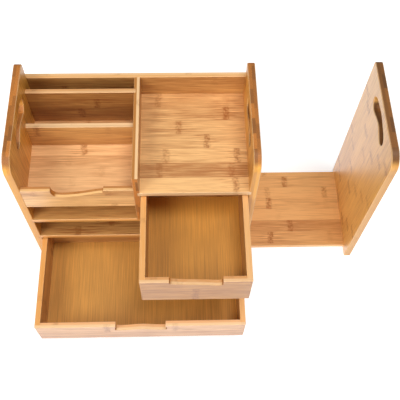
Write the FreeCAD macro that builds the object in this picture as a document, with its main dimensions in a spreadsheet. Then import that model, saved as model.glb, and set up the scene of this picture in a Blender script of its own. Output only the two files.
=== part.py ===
import FreeCAD, Part
import math
import os
import re

import Sketcher

from FreeCAD import Rotation, Vector

# Bamboo desk organizer: a carcass of boards with file slots, two trays, two open
# shelves and two drawers, and a bookend on a sheet that slides out from under it.
# Millimetres, +Z up, standing on the table at z = 0. The origin is under the centre
# of the box around the whole organizer, with its drawers and its bookend drawn out.

DOC = FreeCAD.newDocument("desk_organizer")
SHEET = DOC.addObject("Spreadsheet::Sheet", "Sizes")

# Driving sizes, in millimetres: alias, value and what it measures.
SIZES = (
    ("carcass_width", 370, "over the two side panels"),
    ("panel_depth", 185, "side panels and bookend, front to rear"),
    ("panel_height", 340, "side panels and bookend, above the table"),
    ("panel_board", 12, "thickness of the side panels and the bookend"),
    ("front_corner", 25, "radius of the panels' top front corners"),
    ("rear_corner", 6, "radius of the panels' top rear corners"),
    ("panel_ease", 1.5, "rounding of the panels' long edges"),
    ("back_board", 9, "thickness of the back board, fixed behind the panels"),
    ("back_drop", 38, "panels' top down to the back board's and the centre divider's"),
    ("divider_board", 9, "thickness of the centre divider"),
    ("left_bay", 169.5, "width of the left compartments"),
    ("shelf_board", 9, "thickness of shelves, tray floors and bottom board"),
    ("board_ease", 0.8, "rounding of the thinner boards' edges"),
    ("housing", 3, "depth to which boards are let into their neighbours"),
    ("housing_clear", 0.2, "air left at the bottom of a housing"),
    ("bottom_under", 24, "height of the bottom board's underside"),
    ("wide_part", 65, "wide drawer's bay, as a part of the four heights on the left"),
    ("open_part", 53.5, "open shelf over the wide drawer, the second part"),
    ("pigeon_part", 46.5, "open shelf under the left tray, the third part"),
    ("slot_part", 77, "file slots, the fourth part"),
    ("small_part", 79, "small drawer's bay, as a part of the two heights on the right"),
    ("tray_part", 44.5, "right tray, the second part"),
    ("lip_height", 52, "left tray's front lip"),
    ("lip_board", 8, "thickness of the lip"),
    ("slot_board", 8, "thickness of the two slot dividers"),
    ("rear_slot", 21.5, "width of the rear file slot"),
    ("front_slot", 39, "width of the front file slot"),
    ("front_slot_drop", 26, "back board's top down to the front slot divider's"),
    ("drawer_board", 9, "thickness of the drawers' walls"),
    ("drawer_side_gap", 1, "air beside a drawer, each side"),
    ("drawer_top_gap", 3, "air over a drawer"),
    ("drawer_run_gap", 0.5, "air under and behind a closed drawer"),
    ("drawer_panel", 3, "thickness of a drawer's bottom panel"),
    ("drawer_rise", 2, "drawer's lower edge to its bottom panel"),
    ("groove_depth", 4, "groove that holds a drawer's bottom panel"),
    ("groove_clear", 0.1, "air around the bottom panel in its groove"),
    ("rabbet", 4.5, "how far a drawer's sides lap into its front"),
    ("drawer_corner", 2, "rounding of a drawer front's upright edges"),
    ("small_hold", 45, "how much of the small drawer is still inside at rest"),
    ("wide_hold", 26, "how much of the wide drawer is still inside at rest"),
    ("small_notch", 79, "width of the small drawer's finger notch"),
    ("small_notch_fall", 15, "its depth at the deep end"),
    ("wide_notch", 86, "width of the wide drawer's finger notch"),
    ("wide_notch_fall", 20, "its depth near both ends"),
    ("lip_notch", 80, "width of the finger notch in the lip"),
    ("lip_notch_fall", 19, "its depth at the deep end"),
    ("hole_length", 84, "hand hole, front to rear"),
    ("hole_offset", 2.5, "hand hole's centre behind the panel's middle"),
    ("hole_drop", 16, "panel's top down to the hand hole's upper edge"),
    ("hole_height", 29.5, "from that edge down to its two low ends"),
    ("sheet_board", 8.5, "thickness of the sliding sheet"),
    ("sheet_lift", 0.3, "air under the sheet"),
    ("sheet_set", 18, "front plane to the sheet's front edge"),
    ("sheet_rear_set", 9, "sheet's rear edge to the back board"),
    ("sheet_length", 350, "sheet, left to right"),
    ("sheet_gap", 1, "air between the sheet and what guides it"),
    ("extension_reach", 187, "gap between carcass and bookend at rest"),
    ("runner_board", 10, "width of the runners' foot"),
    ("runner_cover", 10, "how far a runner reaches over the sheet"),
    ("stop_width", 14, "stop block and cleat, left to right"),
    ("stop_depth", 74, "stop block and cleat, front to rear"),
    ("stop_height", 11, "stop block and cleat"),
    ("stop_gap", 0.6, "air between them with the bookend drawn out"),
    ("screw_thread", 3.5, "diameter of a screw"),
    ("screw_head", 7, "diameter of its countersunk head"),
    ("screw_sink", 0.4, "how deep a head lies under the face"),
    ("screw_clear", 0.1, "air around a screw"),
    ("screw_length", 32, "screws of the panels and the bookend"),
    ("back_screw_length", 24, "screws of the back board"),
    ("driver_slot", 0.9, "width of the cross recess in a head"),
    ("driver_reach", 3.8, "length of its arms, end to end"),
    ("driver_depth", 1.1, "depth of that recess"),
    ("screw_inset", 34, "panel screws, from the front and rear edges"),
    ("overrun", 2, "how far a cut runs past the face that it opens"),
)

# Sizes that follow from those above, as cells with formulas.
LEVELS = (
    ("drawer_length", "=panel_depth - drawer_run_gap"),
    ("small_reach", "=drawer_length - small_hold"),
    ("wide_reach", "=drawer_length - wide_hold"),
    ("left_face", "=-(carcass_width + extension_reach + panel_board) / 2"),
    ("front_face", "=(wide_reach - panel_depth - back_board) / 2"),
    ("inner_left", "=panel_board"),
    ("inner_right", "=carcass_width - panel_board"),
    ("divider_left", "=panel_board + left_bay"),
    ("divider_right", "=divider_left + divider_board"),
    ("back_height", "=panel_height - back_drop"),
    ("bottom_top", "=bottom_under + shelf_board"),
    ("left_room", "=back_height - bottom_top - 3 * shelf_board"),
    ("left_parts", "=wide_part + open_part + pigeon_part + slot_part"),
    ("wide_bay", "=left_room * wide_part / left_parts"),
    ("open_bay", "=left_room * open_part / left_parts"),
    ("pigeon_bay", "=left_room * pigeon_part / left_parts"),
    ("lower_shelf_under", "=bottom_top + wide_bay"),
    ("lower_shelf_top", "=lower_shelf_under + shelf_board"),
    ("upper_shelf_under", "=lower_shelf_top + open_bay"),
    ("upper_shelf_top", "=upper_shelf_under + shelf_board"),
    ("left_floor_under", "=upper_shelf_top + pigeon_bay"),
    ("left_floor_top", "=left_floor_under + shelf_board"),
    ("right_room", "=back_height - upper_shelf_top - shelf_board"),
    ("small_bay", "=right_room * small_part / (small_part + tray_part)"),
    ("right_floor_under", "=upper_shelf_top + small_bay"),
    ("right_floor_top", "=right_floor_under + shelf_board"),
    ("rear_slot_set", "=panel_depth - rear_slot - slot_board"),
    ("front_slot_set", "=rear_slot_set - front_slot - slot_board"),
    ("housing_cut", "=housing + housing_clear"),
    ("small_drawer_left", "=divider_right + drawer_side_gap"),
    ("small_drawer_width", "=inner_right - divider_right - 2 * drawer_side_gap"),
    ("small_drawer_under", "=upper_shelf_top + drawer_run_gap"),
    ("small_drawer_height", "=small_bay - drawer_run_gap - drawer_top_gap"),
    ("wide_drawer_left", "=inner_left + drawer_side_gap"),
    ("wide_drawer_width", "=inner_right - inner_left - 2 * drawer_side_gap"),
    ("wide_drawer_under", "=bottom_top + drawer_run_gap"),
    ("wide_drawer_height", "=wide_bay - drawer_run_gap - drawer_top_gap"),
    ("bookend_left", "=carcass_width + extension_reach"),
    ("sheet_left", "=bookend_left - sheet_length"),
    ("sheet_rear", "=panel_depth - sheet_rear_set"),
    ("sheet_depth", "=sheet_rear - sheet_set"),
    ("sheet_top", "=sheet_lift + sheet_board"),
    ("stop_set", "=sheet_set + (sheet_depth - stop_depth) / 2"),
)

for row, (alias, value, meaning) in enumerate(SIZES, start=1):
    SHEET.set(f"A{row}", meaning)
    SHEET.set(f"B{row}", str(value))
    SHEET.setAlias(f"B{row}", alias)
for row, (alias, formula) in enumerate(LEVELS, start=len(SIZES) + 1):
    SHEET.set(f"B{row}", formula)
    SHEET.setAlias(f"B{row}", alias)
DOC.recompute()

ALIASES = {entry[0] for entry in SIZES + LEVELS}
NODES = []


def size(alias):
    """The value of a cell."""
    return float(SHEET.get(alias))


def bind(item, prop, text):
    """Tie a property to an expression in the sheet's aliases."""
    def prefixed(match):
        word = match.group()
        return f"Sizes.{word}" if word in ALIASES else word

    item.setExpression(prop, re.sub(r"[a-z_]+", prefixed, text))


def place(item, corner):
    """Tie an object's place to expressions counted from the carcass's front left foot."""
    starts = ("left_face", "front_face", "0")
    for axis, start, text in zip("xyz", starts, corner):
        bind(item, f"Placement.Base.{axis}", f"{start} + {text}")


def block(label, corner, edges):
    """A box: its front left lower corner and its three sizes, as expressions."""
    box = DOC.addObject("Part::Box", "Block")
    box.Label = label
    for prop, text in zip(("Length", "Width", "Height"), edges):
        bind(box, prop, text)
    place(box, corner)
    return box


def cut(label, base, *tools):
    """The base with the tools cut away."""
    tool = tools[0]
    if len(tools) > 1:
        tool = DOC.addObject("Part::MultiFuse", "Tools")
        tool.Label = f"{label} tools"
        tool.Shapes = list(tools)
    result = DOC.addObject("Part::Cut", "Cut")
    result.Label = label
    result.Base = base
    result.Tool = tool
    return result


def edges_on(shape, *sides):
    """Numbers of the edges that lie on all the named outer faces, such as -Y and +Z."""
    box = shape.BoundBox
    found = []
    for number, edge in enumerate(shape.Edges, start=1):
        near = edge.BoundBox
        lies = True
        for side in sides:
            limit = f"{side[1]}{'Max' if side[0] == '+' else 'Min'}"
            for end in ("Min", "Max"):
                off = getattr(near, side[1] + end) - getattr(box, limit)
                lies = lies and abs(off) < size("board_ease") / 10
        if lies:
            found.append(number)
    return found


def ease(label, base, alias, *pairs):
    """The base with rounded edges; each pair names the two faces that an edge joins."""
    DOC.recompute()
    radius = size(alias)
    numbers = sorted({n for pair in pairs for n in edges_on(base.Shape, *pair)})
    result = DOC.addObject("Part::Fillet", "Ease")
    result.Label = label
    result.Base = base
    result.Edges = [(number, radius, radius) for number in numbers]
    return result


def node(item):
    """Keep a finished sub-part; its label names its file."""
    NODES.append(item)
    return item


# Screws: countersunk heads with a cross recess, as groups of separate solids.

def screw_shape(head, direction, length, clear):
    """One screw, from the face that its head lies under, or its hole if clear is over 0."""
    sink = size("screw_sink")
    thread = size("screw_thread") / 2 + clear
    rim = size("screw_head") / 2 + clear
    start = head + direction * sink
    taper = rim - thread
    body = Part.makeCone(rim, thread, taper, start, direction)
    shank_length = length - taper + clear
    shank = Part.makeCylinder(thread, shank_length, start + direction * taper, direction)
    body = body.fuse(shank).removeSplitter()
    if clear > 0:
        rise = sink + size("overrun")
        mouth = Part.makeCylinder(rim, rise, start - direction * rise, direction)
        return body.fuse(mouth).removeSplitter()
    reach = size("driver_reach")
    width = size("driver_slot")
    depth = size("driver_depth")
    for edges in ((reach, width), (width, reach)):
        corner = Vector(-edges[0] / 2, -edges[1] / 2, -depth)
        arm = Part.makeBox(edges[0], edges[1], 2 * depth, corner)
        arm.Placement = FreeCAD.Placement(start, Rotation(Vector(0, 0, 1), direction))
        body = body.cut(arm)
    return body


def screw_row(label, heads, direction, length, clear):
    """Like screws, or their holes, under the given head places."""
    origin = Vector(size("left_face"), size("front_face"), 0)
    row = DOC.addObject("Part::Feature", "Screws")
    row.Label = label
    row.Shape = Part.makeCompound(
        [screw_shape(origin + head, direction, length, clear) for head in heads]
    )
    return row


def screw_group(label, length_alias, direction, heads):
    """A node of like screws; gives the tool that bores their holes."""
    length = size(length_alias)
    node(screw_row(label, heads, direction, length, 0))
    return screw_row(f"{label} holes", heads, direction, length, size("screw_clear"))


def board_heads(x, levels):
    """Head places on an upright face at x: two for each board, at mid thickness."""
    middle = size("shelf_board") / 2
    rows = (size("screw_inset"), size("panel_depth") - size("screw_inset"))
    return [Vector(x, y, size(level) + middle) for level in levels for y in rows]


SHARED_LEVELS = ("bottom_under", "lower_shelf_under", "upper_shelf_under")
left_holes = screw_group(
    "left_panel_screws", "screw_length", Vector(1, 0, 0),
    board_heads(0, SHARED_LEVELS + ("left_floor_under",)),
)
right_holes = screw_group(
    "right_panel_screws", "screw_length", Vector(-1, 0, 0),
    board_heads(size("carcass_width"), SHARED_LEVELS + ("right_floor_under",)),
)


def back_heads():
    """Head places on the back board: along both panels, the divider and the upper shelf."""
    rear = size("panel_depth") + size("back_board")
    wall = size("panel_board") / 2
    divider = size("divider_left") + size("divider_board") / 2
    top = size("back_height") - size("screw_inset") / 2
    foot = size("bottom_under") + size("shelf_board") / 2
    half = (top + foot) / 2
    shelf = size("upper_shelf_under") + size("shelf_board") / 2
    bays = (size("inner_left") + size("left_bay") / 2, (size("divider_right") + size("inner_right")) / 2)
    places = [(x, z) for x in (wall, size("carcass_width") - wall) for z in (foot, half, top)]
    places += [(divider, top), (divider, size("left_floor_top") + size("screw_inset") / 2)]
    places += [(x, shelf) for x in bays]
    return [Vector(x, rear, z) for x, z in places]


back_holes = screw_group("back_board_screws", "back_screw_length", Vector(0, -1, 0), back_heads())


def bookend_heads():
    """Head places on the bookend's outer face, in line with the sheet's edge."""
    outside = size("bookend_left") + size("panel_board")
    first = size("sheet_set") + size("screw_inset") / 2
    last = size("sheet_rear") - size("screw_inset") / 2
    level = size("sheet_lift") + size("sheet_board") / 2
    return [Vector(outside, y, level) for y in (first, (first + last) / 2, last)]


bookend_holes = screw_group("bookend_screws", "screw_length", Vector(-1, 0, 0), bookend_heads())


# Panels: the side panels and the bookend share one outline and one hand hole.

# Round the hand hole: shares of its half length and of its height, from the front end.
HAND_HOLE_SHARES = (
    (-1.00, 0.40), (-0.93, 0.12), (-0.76, 0.00), (-0.52, 0.08), (-0.15, 0.29),
    (0.22, 0.22), (0.52, 0.06), (0.74, 0.01), (0.94, 0.18), (1.00, 0.50),
    (0.88, 0.76), (0.55, 0.92), (0.15, 1.00), (-0.40, 0.90), (-0.82, 0.72),
)


def hand_hole_edges():
    """The hand hole's closed outline in the panel's plane: a wavy slot with a low hump."""
    half = size("hole_length") / 2
    middle = size("panel_depth") / 2 + size("hole_offset")
    low = size("panel_height") - size("hole_drop") - size("hole_height")
    points = []
    for along, up in HAND_HOLE_SHARES:
        points.append(Vector(middle + along * half, low + up * size("hole_height"), 0))
    curve = Part.BSplineCurve()
    curve.interpolate(points, PeriodicFlag=True)
    return curve


def plane_of(body, role):
    """One of a body's own origin planes."""
    for feature in body.Origin.OriginFeatures:
        if feature.Role == role:
            return feature
    raise RuntimeError(f"no {role}")


def outline_sketch(body):
    """The panel's outline: a board with two rounded top corners, driven by the sheet."""
    sketch = body.newObject("Sketcher::SketchObject", "Outline")
    sketch.AttachmentSupport = [(plane_of(body, "YZ_Plane"), "")]
    sketch.MapMode = "FlatFace"
    depth = size("panel_depth")
    height = size("panel_height")
    front_corner = size("front_corner")
    rear_corner = size("rear_corner")
    front_side = height - front_corner
    rear_side = height - rear_corner
    quarter = math.pi / 2
    axis = Vector(0, 0, 1)
    sketch.addGeometry(Part.LineSegment(Vector(0, 0, 0), Vector(depth, 0, 0)))
    sketch.addGeometry(Part.LineSegment(Vector(depth, 0, 0), Vector(depth, rear_side, 0)))
    rear = Part.Circle(Vector(depth - rear_corner, rear_side, 0), axis, rear_corner)
    sketch.addGeometry(Part.ArcOfCircle(rear, 0, quarter))
    rear_end = Vector(depth - rear_corner, height, 0)
    sketch.addGeometry(Part.LineSegment(rear_end, Vector(front_corner, height, 0)))
    front = Part.Circle(Vector(front_corner, front_side, 0), axis, front_corner)
    sketch.addGeometry(Part.ArcOfCircle(front, quarter, 2 * quarter))
    sketch.addGeometry(Part.LineSegment(Vector(0, front_side, 0), Vector(0, 0, 0)))
    rules = [
        ("Coincident", 0, 1, -1, 1),
        ("Coincident", 0, 2, 1, 1),
        ("Coincident", 5, 2, 0, 1),
        ("Tangent", 1, 2, 2, 1),
        ("Tangent", 2, 2, 3, 1),
        ("Tangent", 3, 2, 4, 1),
        ("Tangent", 4, 2, 5, 1),
        ("Horizontal", 0),
        ("Vertical", 1),
        ("Horizontal", 3),
        ("Vertical", 5),
    ]
    sketch.addConstraint([Sketcher.Constraint(*rule) for rule in rules])
    driven = (
        ("DistanceX", (0, 1, 0, 2), "panel_depth"),
        ("DistanceY", (0, 1, 3, 1), "panel_height"),
        ("Radius", (2,), "rear_corner"),
        ("Radius", (4,), "front_corner"),
    )
    for kind, points, alias in driven:
        number = sketch.addConstraint(Sketcher.Constraint(kind, *points, size(alias)))
        sketch.renameConstraint(number, alias)
        bind(sketch, f"Constraints.{alias}", alias)
        DOC.recompute()
    return sketch


def panel(label, x):
    """An upright panel as a body: padded outline, hand hole and rounded long edges."""
    body = DOC.addObject("PartDesign::Body", "Panel")
    body.Label = label
    place(body, (x, "0", "0"))
    pad = body.newObject("PartDesign::Pad", "Board")
    pad.Profile = outline_sketch(body)
    bind(pad, "Length", "panel_board")
    DOC.recompute()
    solid = pad.Shape.Volume
    hole_sketch = body.newObject("Sketcher::SketchObject", "HandHoleOutline")
    hole_sketch.AttachmentSupport = [(plane_of(body, "YZ_Plane"), "")]
    hole_sketch.MapMode = "FlatFace"
    hole_sketch.addGeometry(hand_hole_edges())
    pocket = body.newObject("PartDesign::Pocket", "HandHole")
    pocket.Profile = hole_sketch
    pocket.Reversed = True
    bind(pocket, "Length", "panel_board + overrun")
    DOC.recompute()
    if not pocket.Shape.Volume < solid:
        raise RuntimeError(f"{label}: the hand hole cuts nothing")
    fillet = body.newObject("PartDesign::Fillet", "LongEdges")
    rims = edges_on(pocket.Shape, "-X") + edges_on(pocket.Shape, "+X")
    foot = set(edges_on(pocket.Shape, "-Z"))
    fillet.Base = (pocket, [f"Edge{number}" for number in rims if number not in foot])
    bind(fillet, "Radius", "panel_ease")
    body.Tip = fillet
    return body


def shelf_housings(side, x, levels):
    """Housings for shelves in an upright face; each row gives a level and where it starts."""
    return [
        block(f"{side} housing at {level}", (x, f"{start} - overrun", level),
              ("housing_cut + overrun", "panel_depth + 2 * overrun", "shelf_board"))
        for level, start in levels
    ]


IN_LEFT = "inner_left - housing_cut"
IN_RIGHT = "inner_right - overrun"

left_tools = shelf_housings(
    "left", IN_LEFT,
    (("bottom_under", "0"), ("lower_shelf_under", "0"), ("upper_shelf_under", "0")),
)
left_tools.append(block(
    "left housing of the tray floor", (IN_LEFT, "lip_board", "left_floor_under"),
    ("housing_cut + overrun", "panel_depth + overrun", "shelf_board"),
))
SLOT_DIVIDERS = (
    ("rear_slot_divider", "rear_slot_set", "back_height - left_floor_top"),
    ("front_slot_divider", "front_slot_set", "back_height - front_slot_drop - left_floor_top"),
)
for label, start, height in SLOT_DIVIDERS:
    left_tools.append(block(
        f"left housing of {label}", (IN_LEFT, start, "left_floor_top"),
        ("housing_cut + overrun", "slot_board", height),
    ))
left_panel = panel("left side panel board", "0")
node(cut("left_side_panel", left_panel, *left_tools, left_holes, back_holes))

right_tools = shelf_housings(
    "right", IN_RIGHT,
    (("bottom_under", "0"), ("lower_shelf_under", "0"), ("upper_shelf_under", "0"),
     ("right_floor_under", "0")),
)
right_tools.append(block(
    "sheet slot", ("inner_right - overrun", "sheet_set - sheet_gap", "-overrun"),
    ("panel_board + 2 * overrun", "sheet_depth + 2 * sheet_gap", "sheet_top + sheet_gap + overrun"),
))
right_panel = panel("right side panel board", "inner_right")
node(cut("right_side_panel", right_panel, *right_tools, right_holes, back_holes))

bookend = panel("bookend board", "bookend_left")
node(cut("bookend_panel", bookend, bookend_holes))


# Fixed boards of the carcass.

def shelf(label, x, y, z, length, depth, *tools):
    """A level board with rounded front edges, bored for its screws."""
    blank = block(f"{label} blank", (x, y, z), (length, depth, "shelf_board"))
    eased = ease(f"{label} board", blank, "board_ease", ("-Y", "-Z"), ("-Y", "+Z"))
    return node(cut(label, eased, *tools))


FULL = "inner_right - inner_left + 2 * housing"
shelf("bottom_board", "inner_left - housing", "0", "bottom_under", FULL, "panel_depth",
      left_holes, right_holes)
shelf("lower_shelf", "inner_left - housing", "0", "lower_shelf_under", FULL, "panel_depth",
      left_holes, right_holes)
divider_foot = block(
    "upper shelf groove", ("divider_left", "-overrun", "upper_shelf_top - housing_cut"),
    ("divider_board", "panel_depth + 2 * overrun", "housing_cut + overrun"),
)
shelf("upper_shelf", "inner_left - housing", "0", "upper_shelf_under", FULL, "panel_depth",
      divider_foot, left_holes, right_holes, back_holes)
shelf("left_tray_floor", "inner_left - housing", "lip_board", "left_floor_under",
      "left_bay + 2 * housing", "panel_depth - lip_board", left_holes)
shelf("right_tray_floor", "divider_right - housing", "0", "right_floor_under",
      "inner_right - divider_right + 2 * housing", "panel_depth", right_holes)

divider_blank = block(
    "centre divider blank", ("divider_left", "0", "upper_shelf_top - housing"),
    ("divider_board", "panel_depth", "back_height - upper_shelf_top + housing"),
)
divider_eased = ease(
    "centre divider board", divider_blank, "board_ease",
    ("-X", "+Z"), ("+X", "+Z"), ("-X", "-Y"), ("+X", "-Y"),
)
divider_tools = [
    block("divider housing of the left floor",
          ("divider_left - overrun", "lip_board", "left_floor_under"),
          ("housing_cut + overrun", "panel_depth + overrun", "shelf_board")),
    block("divider housing of the right floor",
          ("divider_right - housing_cut", "-overrun", "right_floor_under"),
          ("housing_cut + overrun", "panel_depth + 2 * overrun", "shelf_board")),
]
for label, start, height in SLOT_DIVIDERS:
    divider_tools.append(block(
        f"divider housing of {label}", ("divider_left - overrun", start, "left_floor_top"),
        ("housing_cut + overrun", "slot_board", f"{height} + overrun"),
    ))
node(cut("centre_divider", divider_eased, *divider_tools, back_holes))

for label, start, height in SLOT_DIVIDERS:
    slot_blank = block(
        f"{label} blank", ("inner_left - housing", start, "left_floor_top"),
        ("left_bay + 2 * housing", "slot_board", height),
    )
    node(ease(label, slot_blank, "board_ease", ("-Y", "+Z"), ("+Y", "+Z")))

back_blank = block(
    "back board blank", ("0", "panel_depth", "0"),
    ("carcass_width", "back_board", "back_height"),
)
back_eased = ease(
    "back board", back_blank, "board_ease",
    ("-Y", "+Z"), ("+Y", "+Z"), ("+Y", "-X"), ("+Y", "+X"),
)
node(cut("back_panel", back_eased, back_holes))


# Finger notches: a straight-sided cut whose floor is a smooth curve.

def notch(label, middle, top, front, thickness, name, depth_shares):
    """The tool for a notch; the shares give its depth from left to right."""
    half = size(name) / 2
    fall = size(f"{name}_fall")
    centre = Vector(size("left_face") + middle, size("front_face") + front, top)
    floor = []
    for along, share in depth_shares:
        floor.append(centre + Vector(along * half, 0, -share * fall))
    curve = Part.BSplineCurve()
    curve.interpolate(floor)
    lift = Vector(0, 0, top + size("overrun"))
    first, last = floor[0], floor[-1]
    corners = (Vector(last.x, last.y, lift.z), Vector(first.x, first.y, lift.z))
    edges = [
        curve.toShape(),
        Part.makeLine(last, corners[0]),
        Part.makeLine(corners[0], corners[1]),
        Part.makeLine(corners[1], first),
    ]
    face = Part.Face(Part.Wire(edges))
    face.translate(Vector(0, -size("overrun"), 0))
    tool = DOC.addObject("Part::Feature", "Notch")
    tool.Label = label
    tool.Shape = face.extrude(Vector(0, thickness + 2 * size("overrun"), 0))
    return tool


# Depths of the notches from left to right: shares of the half width and of the fall.
LIP_NOTCH_SHARES = (
    (-1.00, 0.25), (-0.95, 0.68), (-0.86, 0.91), (-0.74, 1.00), (-0.24, 0.96),
    (0.16, 0.79), (0.55, 0.56), (0.84, 0.41), (0.96, 0.35), (1.00, 0.20),
)
SMALL_NOTCH_SHARES = (
    (-1.00, 0.20), (-0.96, 0.38), (-0.86, 0.50), (-0.61, 0.62), (-0.24, 0.72),
    (0.15, 0.82), (0.52, 0.93), (0.84, 1.00), (0.96, 0.93), (1.00, 0.60),
)
WIDE_NOTCH_SHARES = (
    (-0.95, 0.30), (-1.00, 0.68), (-0.96, 0.92), (-0.84, 1.00), (-0.45, 0.92), (0.00, 0.74),
    (0.45, 0.92), (0.84, 1.00), (0.96, 0.92), (1.00, 0.68), (0.95, 0.30),
)


lip_blank = block(
    "lip blank", ("inner_left", "0", "left_floor_under"),
    ("left_bay", "lip_board", "lip_height"),
)
lip_eased = ease("lip board", lip_blank, "board_ease", ("-Y", "+Z"), ("+Y", "+Z"), ("-Y", "-Z"))
lip_notch = notch(
    "lip notch", size("inner_left") + size("left_bay") / 2, size("left_floor_under") + size("lip_height"),
    0, size("lip_board"), "lip_notch", LIP_NOTCH_SHARES,
)
node(cut("left_tray_lip", lip_eased, lip_notch))


# Runners under the bottom board, which guide the sheet, and its stop block.

def runner(label, foot, cover):
    """A rebated strip: a foot on the table beside the sheet and a ledge over it."""
    length = "inner_right - inner_left"
    strip = block(f"{label} strip", ("inner_left", foot[0], "0"), (length, foot[1], "bottom_under"))
    rebate = block(
        f"{label} rebate", ("inner_left - overrun", cover[0], "-overrun"),
        (f"{length} + 2 * overrun", cover[1], "sheet_top + sheet_gap + overrun"),
    )
    return node(cut(label, strip, rebate))


RUNNER_DEPTH = "runner_board + runner_cover"
runner("front_runner", ("sheet_set - sheet_gap - runner_board", RUNNER_DEPTH),
       ("sheet_set - sheet_gap", "runner_cover + overrun"))
runner("rear_runner", ("sheet_rear - runner_cover", "panel_depth - sheet_rear + runner_cover"),
       ("sheet_rear - runner_cover - overrun", "runner_cover + sheet_gap + overrun"))
node(block(
    "stop_block",
    ("sheet_left + stop_width + stop_gap", "stop_set", "bottom_under - stop_height"),
    ("stop_width", "stop_depth", "stop_height"),
))

# The sheet that carries the bookend, and the cleat that stops it.

sheet_blank = block(
    "sheet blank", ("sheet_left", "sheet_set", "sheet_lift"),
    ("sheet_length", "sheet_depth", "sheet_board"),
)
sheet_eased = ease(
    "sheet board", sheet_blank, "board_ease",
    ("-Y", "+Z"), ("+Y", "+Z"), ("-Y", "-Z"), ("+Y", "-Z"),
)
node(cut("extension_sheet", sheet_eased, bookend_holes))
node(block(
    "stop_cleat", ("sheet_left", "stop_set", "sheet_top"),
    ("stop_width", "stop_depth", "stop_height"),
))


# Drawers: five boards each, with the sides lapped into the front.

def drawer(name, reach, notch_shares):
    """The five boards of a drawer that is drawn out by its reach."""
    left = f"{name}_drawer_left"
    width = f"{name}_drawer_width"
    under = f"{name}_drawer_under"
    height = f"{name}_drawer_height"
    front = f"-{reach}"
    rear = f"drawer_length - {reach}"
    inside = f"drawer_board - {reach}"
    channel = "drawer_panel + 2 * groove_clear"
    channel_level = f"{under} + drawer_rise - groove_clear"

    blank = block(f"{name} front blank", (left, front, under), (width, "drawer_board", height))
    rounded = ease(f"{name} front corners", blank, "drawer_corner", ("-Y", "-X"), ("-Y", "+X"))
    eased = ease(f"{name} front board", rounded, "board_ease", ("-Y", "+Z"), ("+Y", "+Z"), ("-Y", "-Z"))
    tools = [
        block(f"{name} front left rabbet",
              (f"{left} - overrun", f"{inside} - rabbet", f"{under} - overrun"),
              ("drawer_board + overrun", "rabbet + overrun", f"{height} + 2 * overrun")),
        block(f"{name} front right rabbet",
              (f"{left} + {width} - drawer_board", f"{inside} - rabbet", f"{under} - overrun"),
              ("drawer_board + overrun", "rabbet + overrun", f"{height} + 2 * overrun")),
        block(f"{name} front groove",
              (f"{left} + drawer_board - overrun", f"{inside} - groove_depth", channel_level),
              (f"{width} - 2 * drawer_board + 2 * overrun", "groove_depth + overrun", channel)),
        notch(f"{name} notch", size(left) + size(width) / 2, size(under) + size(height),
              -size(reach), size("drawer_board"), f"{name}_notch", notch_shares),
    ]
    node(cut(f"{name}_drawer_front", eased, *tools))

    walls = (
        ("left", left, f"{left} + drawer_board - groove_depth"),
        ("right", f"{left} + {width} - drawer_board", f"{left} + {width} - drawer_board - overrun"),
    )
    for side, x, groove_x in walls:
        blank = block(f"{name} {side} blank", (x, f"{inside} - rabbet", under),
                      ("drawer_board", "drawer_length - drawer_board + rabbet", height))
        eased = ease(f"{name} {side} board", blank, "board_ease", ("-X", "+Z"), ("+X", "+Z"))
        groove = block(f"{name} {side} groove", (groove_x, f"{inside} - groove_depth", channel_level),
                       ("groove_depth + overrun",
                        "drawer_length - 2 * drawer_board + 2 * groove_depth", channel))
        node(cut(f"{name}_drawer_{side}_side", eased, groove))

    blank = block(f"{name} back blank", (f"{left} + drawer_board", f"{rear} - drawer_board", under),
                  (f"{width} - 2 * drawer_board", "drawer_board", height))
    eased = ease(f"{name} back board", blank, "board_ease", ("-Y", "+Z"), ("+Y", "+Z"))
    groove = block(f"{name} back groove",
                   (f"{left} + drawer_board - overrun", f"{rear} - drawer_board - overrun", channel_level),
                   (f"{width} - 2 * drawer_board + 2 * overrun", "groove_depth + overrun", channel))
    node(cut(f"{name}_drawer_back", eased, groove))

    tongue = "groove_depth - groove_clear"
    node(block(
        f"{name}_drawer_bottom",
        (f"{left} + drawer_board - ({tongue})", f"{inside} - ({tongue})", f"{under} + drawer_rise"),
        (f"{width} - 2 * drawer_board + 2 * ({tongue})",
         f"drawer_length - 2 * drawer_board + 2 * ({tongue})", "drawer_panel"),
    ))


drawer("small", "small_reach", SMALL_NOTCH_SHARES)
drawer("wide", "wide_reach", WIDE_NOTCH_SHARES)


# Check everything, then write one file for each sub-part.

DOC.recompute()
for item in DOC.Objects:
    if "Invalid" in item.State or "Error" in item.State:
        raise RuntimeError(f"{item.Label} failed: {item.State}")
for item in NODES:
    if item.Shape.isNull() or not item.Shape.isValid():
        raise RuntimeError(f"{item.Label} has no valid shape")
os.makedirs("parts", exist_ok=True)
for item in NODES:
    item.Shape.exportStep(os.path.join("parts", f"{item.Label}.step"))
    box = item.Shape.BoundBox
    print(f"{item.Label}: {len(item.Shape.Solids)} solids, {item.Shape.Volume / 1000:.1f} cm3, "
          f"x {box.XMin:.1f} to {box.XMax:.1f}, y {box.YMin:.1f} to {box.YMax:.1f}, "
          f"z {box.ZMin:.1f} to {box.ZMax:.1f}")
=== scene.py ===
"""Finishes of a bamboo desk organizer with file slots, drawers and a sliding bookend."""
import math

import bmesh
import bpy
from mathutils import Matrix, Vector


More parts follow.
